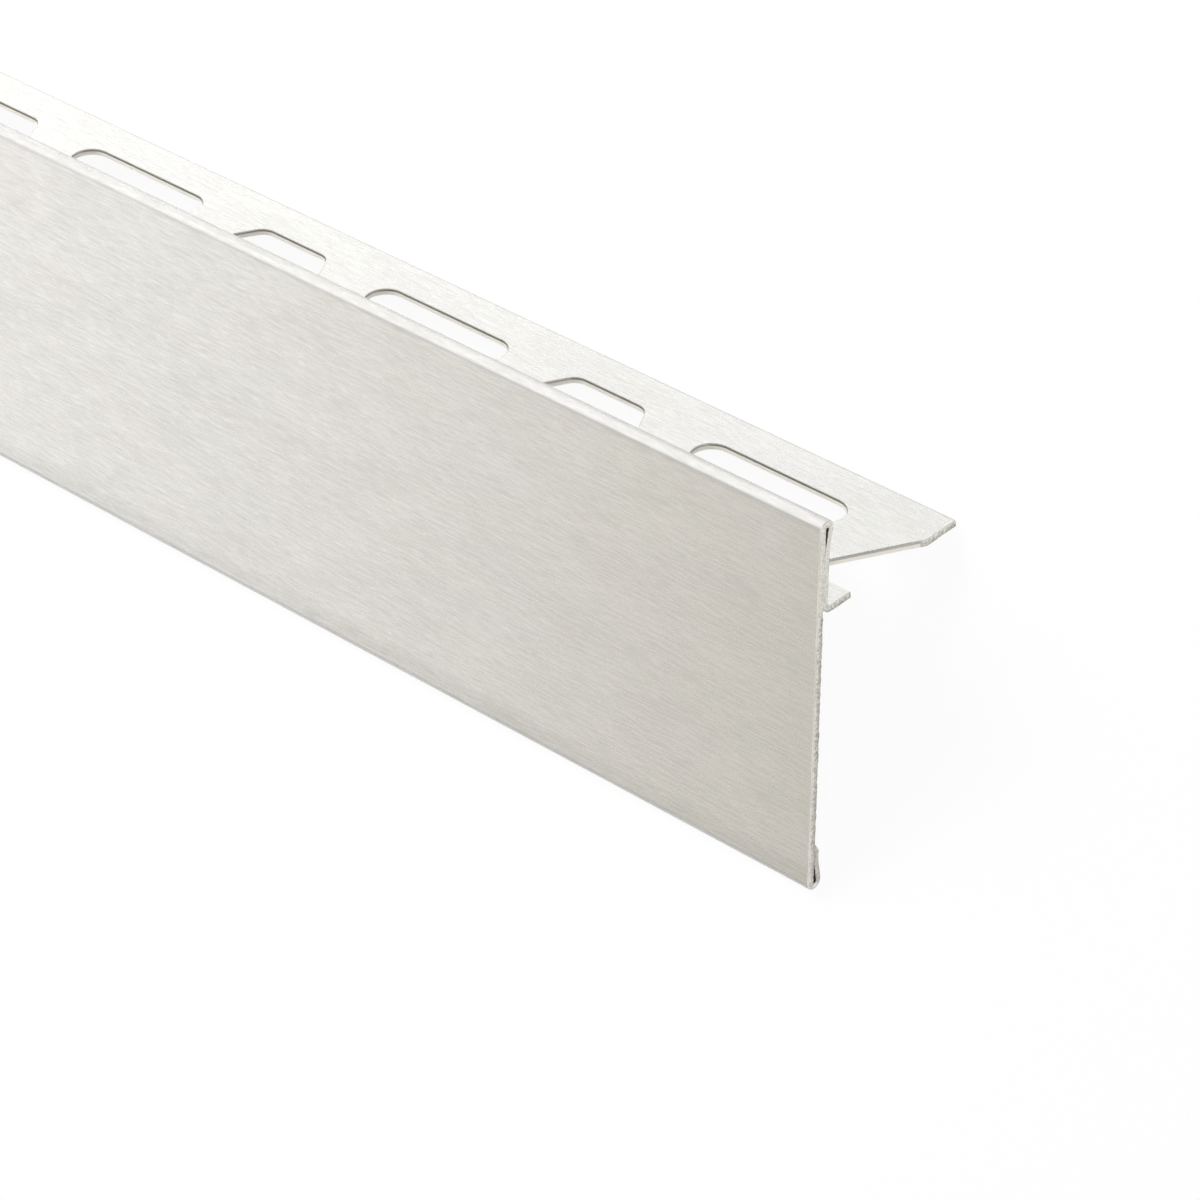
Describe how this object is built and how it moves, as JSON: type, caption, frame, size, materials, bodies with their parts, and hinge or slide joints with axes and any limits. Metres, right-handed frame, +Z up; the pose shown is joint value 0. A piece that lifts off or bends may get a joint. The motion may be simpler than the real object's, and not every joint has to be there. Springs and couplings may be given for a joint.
{
  "type": "tile edge trim",
  "caption": "Folded brushed stainless steel tile edge trim bar: tall face with hemmed edges, upright lip and perforated anchoring leg for bedding under tiles.",
  "frame": {"origin": "on the floor under the middle of the bar's box, with the bar lying on its bottom hem and the outer edge of its leg", "axes": "+X along the bar towards its pictured end, +Y from the bottom hem towards the leg, +Z up from the floor"},
  "size_m": [1, 0.0542, 0.032],
  "materials": {
    "sheet": "stainless, brushed along the bar"
  },
  "bodies": {
    "root": {"edge_trim": "sheet"}
  },
  "joints": []
}
